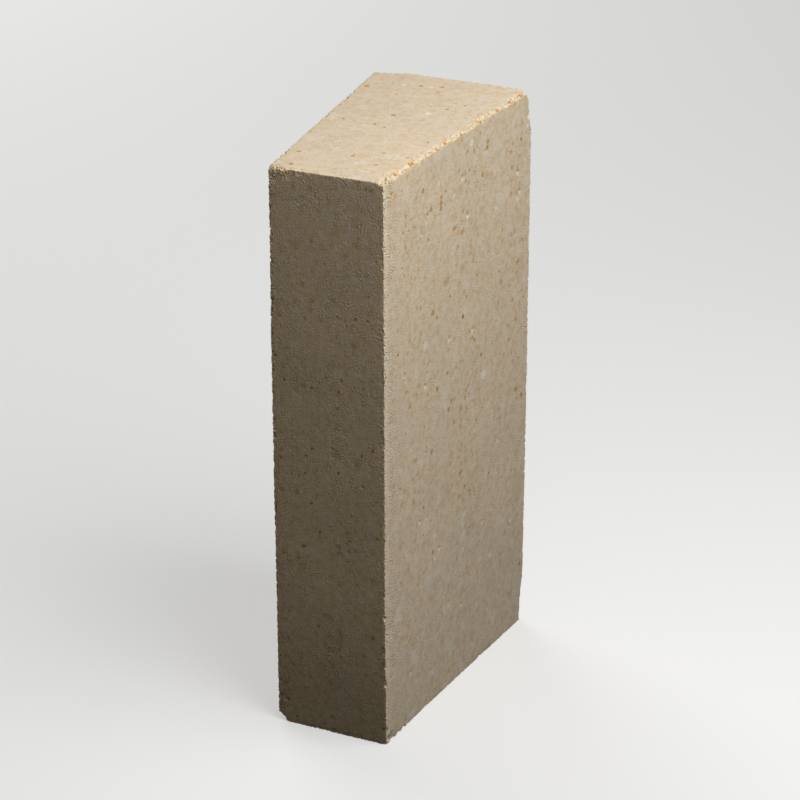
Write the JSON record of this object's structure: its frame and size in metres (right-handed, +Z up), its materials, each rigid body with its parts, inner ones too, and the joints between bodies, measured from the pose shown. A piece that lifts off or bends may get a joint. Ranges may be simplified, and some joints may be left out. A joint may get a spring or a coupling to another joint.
{
  "type": "side-arch refractory firebrick",
  "caption": "Wedge-shaped dense fireclay brick standing on its end, with two bed faces that lean together towards the narrow face, worn arrises and small corner scars.",
  "frame": {"origin": "middle of the base end, the end that the brick stands on", "axes": "+Z up along the brick's length, -Y out of the narrow face that turns to the fire, +Y out of the wide face, +X and -X towards the two bed faces"},
  "size_m": [0.0648, 0.114, 0.23],
  "materials": {
    "fireclay": "matte"
  },
  "bodies": {
    "root": {"firebrick": "fireclay"}
  },
  "joints": []
}
